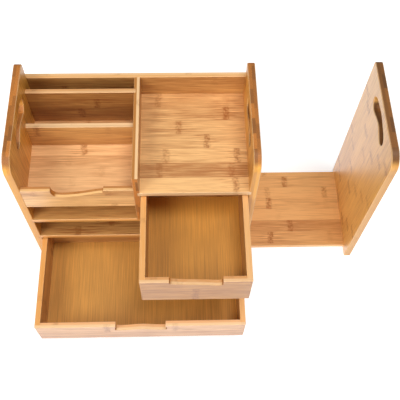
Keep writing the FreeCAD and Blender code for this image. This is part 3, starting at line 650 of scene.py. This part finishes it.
def bamboo(node, fibre, across, plies, colour, gloss, strip, seed, sizes):
    """Lacquered bamboo board, glued from strips.

    Canes are split, planed and glued side by side, so a face shows strips in slightly
    different tones, with fine long fibres and a brown band at each of the cane's knuckles.
    A long edge shows the plies, and a sawn end is dark with open fibre ends.
    """
    low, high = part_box(node)
    thick = ({"x", "y", "z"} - {fibre, across}).pop()
    thickness = (high[AXES[thick]] - low[AXES[thick]]) / MM
    cream = tuple(sizes.cream) + (1,)
    material, tree = new_material(f"bamboo board {node}")
    board_at, facing = board_space(tree, node, low, (fibre, across, thick))
    mm = add_node(tree, "ShaderNodeSeparateXYZ", links={0: board_at})
    ply_share = add_node(
        tree, "ShaderNodeMath", {"operation": "DIVIDE"}, {1: thickness}, {0: mm.outputs[2]},
    ).outputs[0]
    pattern = strip_pattern(
        tree, node, mm.outputs[1], ply_share, plies, strip, seed, sizes.knuckles,
    )

    # Each strip is cut from another cane, so its fibres don't run on from its neighbour's.
    shuffled = add_node(
        tree, "ShaderNodeVectorMath", {"operation": "MULTIPLY_ADD"}, {1: SHUFFLE},
        {0: pattern["chance"], 2: board_at},
    )
    noises = {}
    for name, (cells, detail, roughness) in NOISES.items():
        scaled = add_node(
            tree, "ShaderNodeVectorMath", {"operation": "MULTIPLY"}, {1: cells},
            {0: shuffled.outputs[0]},
        )
        noises[name] = add_node(
            tree, "ShaderNodeTexNoise", None,
            {"Scale": 1.0, "Detail": detail, "Roughness": roughness},
            {"Vector": scaled.outputs[0]},
        ).outputs[0]
    mark, growth = knuckle_marks(tree, mm.outputs[0], pattern, noises, sizes)

    # Faces and long edges, with the knuckles over both.
    face, streaks = face_colour(tree, colour, pattern, noises, growth)
    edge = edge_colour(tree, colour, plies, ply_share, streaks, cream)
    edge_mask = add_node(
        tree, "ShaderNodeMapRange", {"interpolation_type": "SMOOTHSTEP"}, EDGE_TURN,
        {0: facing[1]},
    )
    wood = add_node(
        tree, "ShaderNodeMix", {"data_type": "RGBA"},
        links={0: edge_mask.outputs[0], 6: face, 7: edge},
    )
    off_edge = add_node(
        tree, "ShaderNodeMath", {"operation": "MULTIPLY_ADD"},
        {1: -KNUCKLE_EDGE_LOSS, 2: KNUCKLE_SHARE}, {0: edge_mask.outputs[0]},
    )
    knuckle_share = add_node(
        tree, "ShaderNodeMath", {"operation": "MULTIPLY"},
        links={0: mark, 1: off_edge.outputs[0]},
    )
    knuckled = add_node(
        tree, "ShaderNodeMix", {"data_type": "RGBA"}, {7: toned(colour, KNUCKLE_BROWN)},
        {0: knuckle_share.outputs[0], 6: wood.outputs[2]},
    )

    # Glue lines between the strips.
    joint_off = add_node(
        tree, "ShaderNodeMath", {"operation": "PINGPONG"}, {1: 0.5}, {0: pattern["within"]},
    )
    line = add_node(
        tree, "ShaderNodeMapRange", {"interpolation_type": "SMOOTHSTEP"},
        {1: GLUE_OUT / strip, 2: GLUE_IN / strip}, {0: joint_off.outputs[0]},
    )
    line_share = add_node(
        tree, "ShaderNodeMath", {"operation": "MULTIPLY"}, {1: GLUE_SHARE}, {0: line.outputs[0]},
    )
    lined = add_node(
        tree, "ShaderNodeMix", {"data_type": "RGBA"}, {7: toned(colour, GLUE_BROWN)},
        {0: line_share.outputs[0], 6: knuckled.outputs[2]},
    )

    # Where the surface faces along the fibres, the sawn end shows.
    end_base = sizes.brown_end if node == "bookend_panel" else sizes.end_grain
    end = end_colour(tree, tuple(end_base), board_at, pattern["block"])
    end_mask = add_node(
        tree, "ShaderNodeMapRange", {"interpolation_type": "SMOOTHSTEP"}, END_TURN,
        {0: facing[0]},
    )
    ended = add_node(
        tree, "ShaderNodeMix", {"data_type": "RGBA"},
        links={0: end_mask.outputs[0], 6: lined.outputs[2], 7: end},
    )

    # Eased edges are made a little paler than the faces beside them: partly rubbing
    # wear, partly a painted highlight along the rounding.
    half_turned = add_node(
        tree, "ShaderNodeMath", {"operation": "PINGPONG"}, {1: 0.5}, {0: facing[2]},
    )
    rub_and_highlight = add_node(
        tree, "ShaderNodeMapRange", {"interpolation_type": "SMOOTHSTEP"},
        {**EASED_TURN, 4: RUB_AND_HIGHLIGHT}, {0: half_turned.outputs[0]},
    )
    rubbed_and_highlighted = add_node(
        tree, "ShaderNodeMix", {"data_type": "RGBA"}, {7: cream},
        {0: rub_and_highlight.outputs[0], 6: ended.outputs[2]},
    )

    # The lacquer fills the fibres nearly level, and soaks into the ends, which stay duller.
    face_rough = add_node(
        tree, "ShaderNodeMapRange", None,
        {**NOISE_RANGE, 3: sizes.roughness + OVER_DARK, 4: sizes.roughness + OVER_PALE},
        {0: noises["fine"]},
    )
    rough = add_node(
        tree, "ShaderNodeMath", {"operation": "MULTIPLY_ADD"}, {1: END_ROUGHNESS},
        {0: end_mask.outputs[0], 2: face_rough.outputs[0]},
    )
    relief = add_node(
        tree, "ShaderNodeMath", {"operation": "SUBTRACT"},
        links={0: noises["fine"], 1: line.outputs[0]},
    )
    bump = add_node(
        tree, "ShaderNodeBump", None, BAMBOO_RELIEF, {"Height": relief.outputs[0]},
    )
    surface = add_node(
        tree, "ShaderNodeBsdfPrincipled", None,
        {"IOR": LACQUER_IOR, "Coat Roughness": GLOSS_ROUGHNESS},
        {
            "Base Color": rubbed_and_highlighted.outputs[2], "Roughness": rough.outputs[0],
            "Normal": bump.outputs[0],
        },
    )
    if gloss:
        # The edges and ends are sanded and thinly lacquered.
        off_face = add_node(
            tree, "ShaderNodeMath", {"operation": "MAXIMUM"},
            links={0: end_mask.outputs[0], 1: edge_mask.outputs[0]},
        )
        coat = add_node(
            tree, "ShaderNodeMath", {"operation": "MULTIPLY_ADD"},
            {1: -GLOSS_LOSS * gloss, 2: gloss}, {0: off_face.outputs[0]},
        )
        tree.links.new(coat.outputs[0], surface.inputs["Coat Weight"])
    add_node(tree, "ShaderNodeOutputMaterial", links={"Surface": surface.outputs[0]})
    return material


def bamboo_veneer(node, colour, seed, sizes):
    """Rotary-cut bamboo veneer: one broad sheet, with fibres front to rear and no strips."""
    material, tree = new_material(f"bamboo veneer {node}")
    place = add_node(tree, "ShaderNodeTexCoord")
    at = add_node(
        tree, "ShaderNodeVectorMath", {"operation": "MULTIPLY_ADD"},
        {1: (1 / MM, 1 / MM, 1 / MM), 2: [seed * shift for shift in VENEER_SHIFT]},
        {0: place.outputs["Object"]},
    )
    fibres_at = add_node(
        tree, "ShaderNodeVectorMath", {"operation": "MULTIPLY"}, {1: VENEER_FIBRES},
        {0: at.outputs[0]},
    )
    fibres = add_node(
        tree, "ShaderNodeTexNoise", None, {"Scale": 1.0, "Detail": 3.0, "Roughness": 0.6},
        {"Vector": fibres_at.outputs[0]},
    )
    clouds_at = add_node(
        tree, "ShaderNodeVectorMath", {"operation": "MULTIPLY"}, {1: VENEER_CLOUDS},
        {0: at.outputs[0]},
    )
    clouds = add_node(
        tree, "ShaderNodeTexNoise", None, {"Scale": 1.0, "Detail": 2.0},
        {"Vector": clouds_at.outputs[0]},
    )
    clouded = add_node(
        tree, "ShaderNodeMapRange", None, {**NOISE_RANGE, **CLOUD_LEVELS},
        {0: clouds.outputs[0]},
    )
    lined = add_node(
        tree, "ShaderNodeMapRange", None, {**NOISE_RANGE, **FIBRE_LEVELS},
        {0: fibres.outputs[0]},
    )
    grain = add_node(
        tree, "ShaderNodeMath", {"operation": "MULTIPLY"},
        links={0: clouded.outputs[0], 1: lined.outputs[0]},
    )
    grained = add_node(
        tree, "ShaderNodeVectorMath", {"operation": "SCALE"}, {0: colour}, {3: grain.outputs[0]},
    )
    rough = add_node(
        tree, "ShaderNodeMapRange", None,
        {**NOISE_RANGE, 3: sizes.roughness + VENEER_DARK, 4: sizes.roughness + VENEER_PALE},
        {0: fibres.outputs[0]},
    )
    bump = add_node(
        tree, "ShaderNodeBump", None, VENEER_RELIEF, {"Height": fibres.outputs[0]},
    )
    surface = add_node(
        tree, "ShaderNodeBsdfPrincipled", None,
        {"IOR": LACQUER_IOR, "Specular IOR Level": VENEER_MIRROR},
        {
            "Base Color": grained.outputs[0], "Roughness": rough.outputs[0],
            "Normal": bump.outputs[0],
        },
    )
    add_node(tree, "ShaderNodeOutputMaterial", links={"Surface": surface.outputs[0]})
    return material


def zinc_plate():
    """Zinc-plated steel: a grey metal with the faint cloudy blue of its passivation."""
    material, tree = new_material("zinc plated steel")
    place = add_node(tree, "ShaderNodeTexCoord")
    cloud = add_node(
        tree, "ShaderNodeTexNoise", None, {"Scale": ZINC_CLOUDS, "Detail": 2.0},
        {"Vector": place.outputs["Object"]},
    )
    colour = add_node(
        tree, "ShaderNodeMix", {"data_type": "RGBA"},
        {6: linear(ZINC_BLUE) + (1,), 7: linear(ZINC_YELLOW) + (1,)}, {0: cloud.outputs[0]},
    )
    rough = add_node(
        tree, "ShaderNodeMapRange", None, {**NOISE_RANGE, **ZINC_ROUGHNESS},
        {0: cloud.outputs[0]},
    )
    bump = add_node(tree, "ShaderNodeBump", None, ZINC_RELIEF, {"Height": cloud.outputs[0]})
    surface = add_node(
        tree, "ShaderNodeBsdfPrincipled", None, {"Metallic": 1.0},
        {
            "Base Color": colour.outputs[2], "Roughness": rough.outputs[0],
            "Normal": bump.outputs[0],
        },
    )
    add_node(tree, "ShaderNodeOutputMaterial", links={"Surface": surface.outputs[0]})
    return material


def finish_boards(group, sizes):
    """Give each board of a group its own bamboo."""
    for node, fibre, across, plies, tone, gloss, strip, seed in BOARDS[group]:
        colour = tuple(getattr(sizes, tone))
        cover(node, bamboo(node, fibre, across, plies, colour, gloss, strip, seed, sizes))


class ORGANIZER_OT_panels(bpy.types.Operator):
    """Finish the side panels and the bookend"""

    bl_idname = "organizer.panels"
    bl_label = "Panels and bookend"

    def execute(self, context):
        finish_boards("panels", context.scene.organizer_bamboo)
        return {"FINISHED"}


class ORGANIZER_OT_carcass(bpy.types.Operator):
    """Finish the back, dividers, trays, shelves and runners"""

    bl_idname = "organizer.carcass"
    bl_label = "Carcass boards"

    def execute(self, context):
        finish_boards("carcass", context.scene.organizer_bamboo)
        return {"FINISHED"}


class ORGANIZER_OT_drawers(bpy.types.Operator):
    """Finish both drawers and their veneered bottoms"""

    bl_idname = "organizer.drawers"
    bl_label = "Drawers"

    def execute(self, context):
        sizes = context.scene.organizer_bamboo
        finish_boards("small_drawer", sizes)
        finish_boards("wide_drawer", sizes)
        for node, tone, seed in VENEERS:
            cover(node, bamboo_veneer(node, tuple(getattr(sizes, tone)), seed, sizes))
        return {"FINISHED"}


class ORGANIZER_OT_sheet(bpy.types.Operator):
    """Finish the sliding sheet and its cleat"""

    bl_idname = "organizer.sheet"
    bl_label = "Sliding sheet"

    def execute(self, context):
        finish_boards("sheet", context.scene.organizer_bamboo)
        return {"FINISHED"}


class ORGANIZER_OT_screws(bpy.types.Operator):
    """Finish the screws"""

    bl_idname = "organizer.screws"
    bl_label = "Screws"

    def execute(self, context):
        material = zinc_plate()
        for node in SCREWS:
            cover(node, material)
        return {"FINISHED"}


class ORGANIZER_OT_stage(bpy.types.Operator):
    """Set up the floor, the light and the camera"""

    bl_idname = "organizer.stage"
    bl_label = "Stage"

    def execute(self, context):
        stage = context.scene.organizer_stage
        self.floor(context, stage)
        self.light(context, stage)
        self.camera(context, stage)
        context.scene.view_settings.view_transform = "Standard"
        return {"FINISHED"}

    def floor(self, context, stage):
        """A level matt floor just under the organizer's feet, which the camera sees as white."""
        shape = bmesh.new()
        bmesh.ops.create_grid(shape, x_segments=1, y_segments=1, size=FLOOR_REACH)
        bmesh.ops.translate(shape, vec=(0, 0, -FLOOR_DROP), verts=shape.verts)
        mesh = bpy.data.meshes.new("studio_floor")
        shape.to_mesh(mesh)
        shape.free()
        floor = bpy.data.objects.new("studio_floor", mesh)
        context.scene.collection.objects.link(floor)
        material, tree = new_material("matt white paint")
        ray = add_node(tree, "ShaderNodeLightPath")
        paint = add_node(
            tree, "ShaderNodeBsdfDiffuse", None, {"Color": tuple(stage.floor) + (1,)},
        )
        seen = add_node(
            tree, "ShaderNodeMath", {"operation": "MULTIPLY_ADD"}, {1: MIRRORED_SHINE},
            {0: ray.outputs["Is Glossy Ray"], 2: ray.outputs["Is Camera Ray"]},
        )
        shine_level = add_node(
            tree, "ShaderNodeMath", {"operation": "MULTIPLY"}, {1: FLOOR_SHINE},
            {0: seen.outputs[0]},
        )
        shine = add_node(
            tree, "ShaderNodeEmission", None, {"Color": WHITE},
            {"Strength": shine_level.outputs[0]},
        )
        both = add_node(
            tree, "ShaderNodeAddShader", links={0: paint.outputs[0], 1: shine.outputs[0]},
        )
        add_node(tree, "ShaderNodeOutputMaterial", links={"Surface": both.outputs[0]})
        mesh.materials.append(material)

    def light(self, context, stage):
        """Plain light from all round, and three broad lamps."""
        world = bpy.data.worlds.new("studio")
        context.scene.world = world
        world.use_nodes = True
        tree = world.node_tree
        tree.nodes.clear()
        ray = add_node(tree, "ShaderNodeLightPath")
        strength = add_node(
            tree, "ShaderNodeMapRange", None, {3: stage.fill},
            {0: ray.outputs["Is Camera Ray"]},
        )
        sky = add_node(
            tree, "ShaderNodeBackground", None, {"Color": WHITE},
            {"Strength": strength.outputs[0]},
        )
        add_node(tree, "ShaderNodeOutputWorld", links={"Surface": sky.outputs[0]})
        for name, place, width in LAMPS:
            lamp = bpy.data.lights.new(name, "AREA")
            lamp.shape = "DISK"
            lamp.size = width
            lamp.energy = getattr(stage, name)
            item = bpy.data.objects.new(name, lamp)
            context.scene.collection.objects.link(item)
            aim = Vector(LAMP_AIM) - Vector(place)
            turn = aim.to_track_quat("-Z", "Y").to_matrix().to_4x4()
            item.matrix_world = Matrix.Translation(Vector(place)) @ turn

    def camera(self, context, stage):
        """The camera, high over the front and looking steeply down."""
        data = bpy.data.cameras.new("camera")
        data.sensor_width = SENSOR
        data.lens = stage.lens
        camera = bpy.data.objects.new("camera", data)
        context.scene.collection.objects.link(camera)
        camera.matrix_world = (
            Matrix.Translation(Vector(stage.place))
            @ Matrix.Rotation(stage.heading, 4, "Z")
            @ Matrix.Rotation(math.pi / 2 - stage.tilt, 4, "X")
            @ Matrix.Rotation(stage.roll, 4, "Z")
        )
        context.scene.camera = camera


class ORGANIZER_PT_sidebar(bpy.types.Panel):
    """The organizer's sizes, colours and steps."""

    bl_label = "Desk organizer"
    bl_idname = "ORGANIZER_PT_sidebar"
    bl_space_type = "VIEW_3D"
    bl_region_type = "UI"
    bl_category = "Organizer"

    def draw(self, context):
        for settings in (context.scene.organizer_bamboo, context.scene.organizer_stage):
            column = self.layout.column()
            for name in settings.__annotations__:
                column.prop(settings, name)
        for operator in OPERATORS:
            self.layout.operator(operator.bl_idname)


OPERATORS = (
    ORGANIZER_OT_panels,
    ORGANIZER_OT_carcass,
    ORGANIZER_OT_drawers,
    ORGANIZER_OT_sheet,
    ORGANIZER_OT_screws,
    ORGANIZER_OT_stage,
)
CLASSES = (BambooSettings, StageSettings) + OPERATORS + (ORGANIZER_PT_sidebar,)


def register():
    for item in CLASSES:
        bpy.utils.register_class(item)
    bpy.types.Scene.organizer_bamboo = bpy.props.PointerProperty(type=BambooSettings)
    bpy.types.Scene.organizer_stage = bpy.props.PointerProperty(type=StageSettings)


def unregister():
    del bpy.types.Scene.organizer_stage
    del bpy.types.Scene.organizer_bamboo
    for item in reversed(CLASSES):
        bpy.utils.unregister_class(item)


def main():
    """Finish every piece and set the stage."""
    register()
    bpy.ops.organizer.panels()
    bpy.ops.organizer.carcass()
    bpy.ops.organizer.drawers()
    bpy.ops.organizer.sheet()
    bpy.ops.organizer.screws()
    bpy.ops.organizer.stage()


if __name__ == "__main__":
    main()
